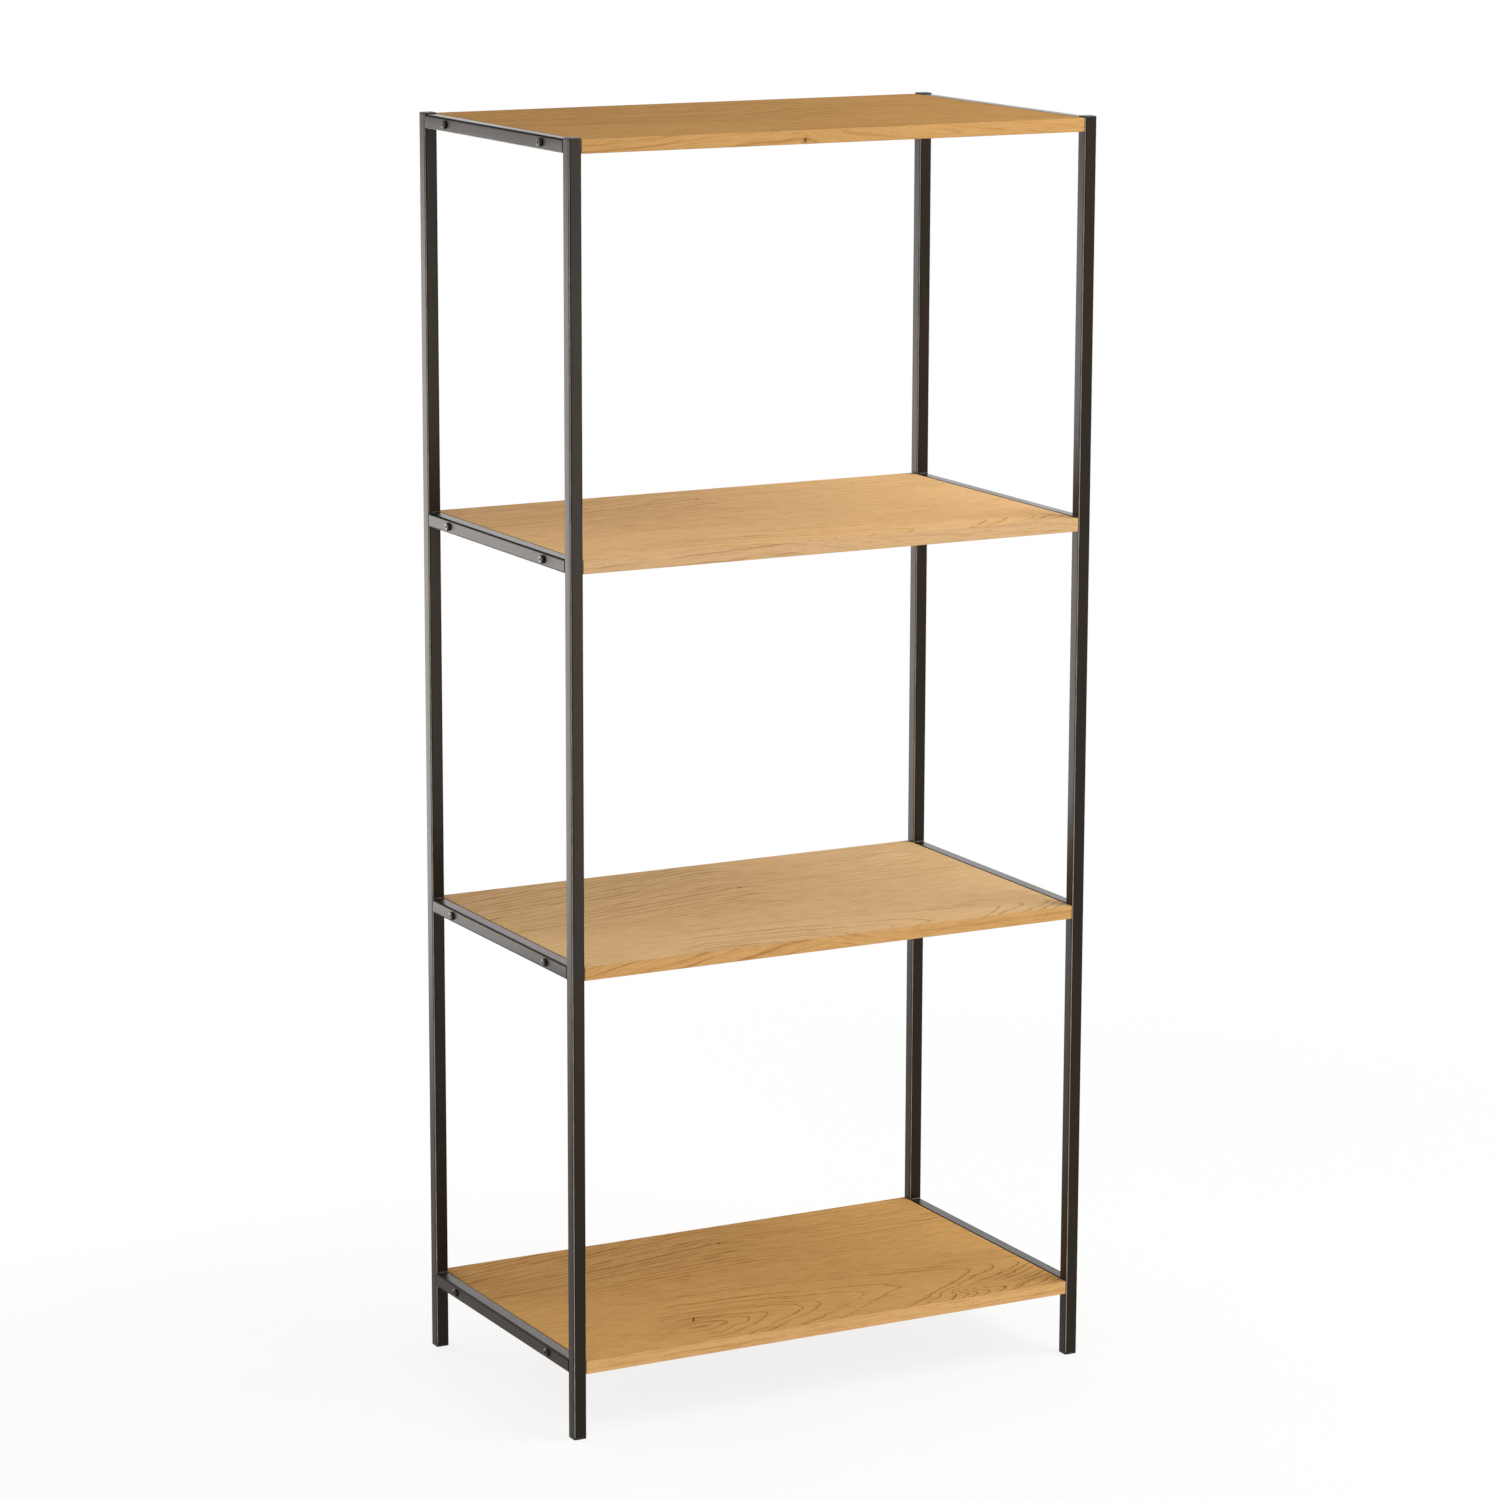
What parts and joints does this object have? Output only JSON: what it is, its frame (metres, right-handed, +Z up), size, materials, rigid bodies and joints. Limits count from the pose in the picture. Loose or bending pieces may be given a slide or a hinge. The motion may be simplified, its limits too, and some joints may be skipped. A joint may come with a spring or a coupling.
{
  "type": "open shelving unit",
  "caption": "Open étagère of oak boards screwed between two welded ladder frames of dark square steel tube, with plugged posts.",
  "frame": {"origin": "on the floor, in the middle of the shelf's footprint", "axes": "+X to the shelf's right as seen from the front, -Y to the front, +Z up"},
  "size_m": [0.641, 0.37, 1.4],
  "materials": {
    "frame_coat": "satin brown-black powder coat",
    "oak": "oiled oak veneer, grain along the board",
    "black_plastic": "matt black",
    "screw_black": "blackened steel",
    "insert_zinc": "zinc plated"
  },
  "bodies": {
    "root": {"board_bottom": "oak", "board_lower": "oak", "board_top": "oak", "board_upper": "oak", "foot_plug_back_left": "black_plastic", "foot_plug_back_right": "black_plastic", "foot_plug_front_left": "black_plastic", "foot_plug_front_right": "black_plastic", "insert_bottom_back_left": "insert_zinc", "insert_bottom_back_right": "insert_zinc", "insert_bottom_front_left": "insert_zinc", "insert_bottom_front_right": "insert_zinc", "insert_lower_back_left": "insert_zinc", "insert_lower_back_right": "insert_zinc", "insert_lower_front_left": "insert_zinc", "insert_lower_front_right": "insert_zinc", "insert_top_back_left": "insert_zinc", "insert_top_back_right": "insert_zinc", "insert_top_front_left": "insert_zinc", "insert_top_front_right": "insert_zinc", "insert_upper_back_left": "insert_zinc", "insert_upper_back_right": "insert_zinc", "insert_upper_front_left": "insert_zinc", "insert_upper_front_right": "insert_zinc", "post_back_left": "frame_coat", "post_back_right": "frame_coat", "post_front_left": "frame_coat", "post_front_right": "frame_coat", "rail_bottom_left": "frame_coat", "rail_bottom_right": "frame_coat", "rail_lower_left": "frame_coat", "rail_lower_right": "frame_coat", "rail_top_left": "frame_coat", "rail_top_right": "frame_coat", "rail_upper_left": "frame_coat", "rail_upper_right": "frame_coat", "screw_bottom_back_left": "screw_black", "screw_bottom_back_right": "screw_black", "screw_bottom_front_left": "screw_black", "screw_bottom_front_right": "screw_black", "screw_lower_back_left": "screw_black", "screw_lower_back_right": "screw_black", "screw_lower_front_left": "screw_black", "screw_lower_front_right": "screw_black", "screw_top_back_left": "screw_black", "screw_top_back_right": "screw_black", "screw_top_front_left": "screw_black", "screw_top_front_right": "screw_black", "screw_upper_back_left": "screw_black", "screw_upper_back_right": "screw_black", "screw_upper_front_left": "screw_black", "screw_upper_front_right": "screw_black", "top_plug_back_left": "black_plastic", "top_plug_back_right": "black_plastic", "top_plug_front_left": "black_plastic", "top_plug_front_right": "black_plastic"}
  },
  "joints": []
}
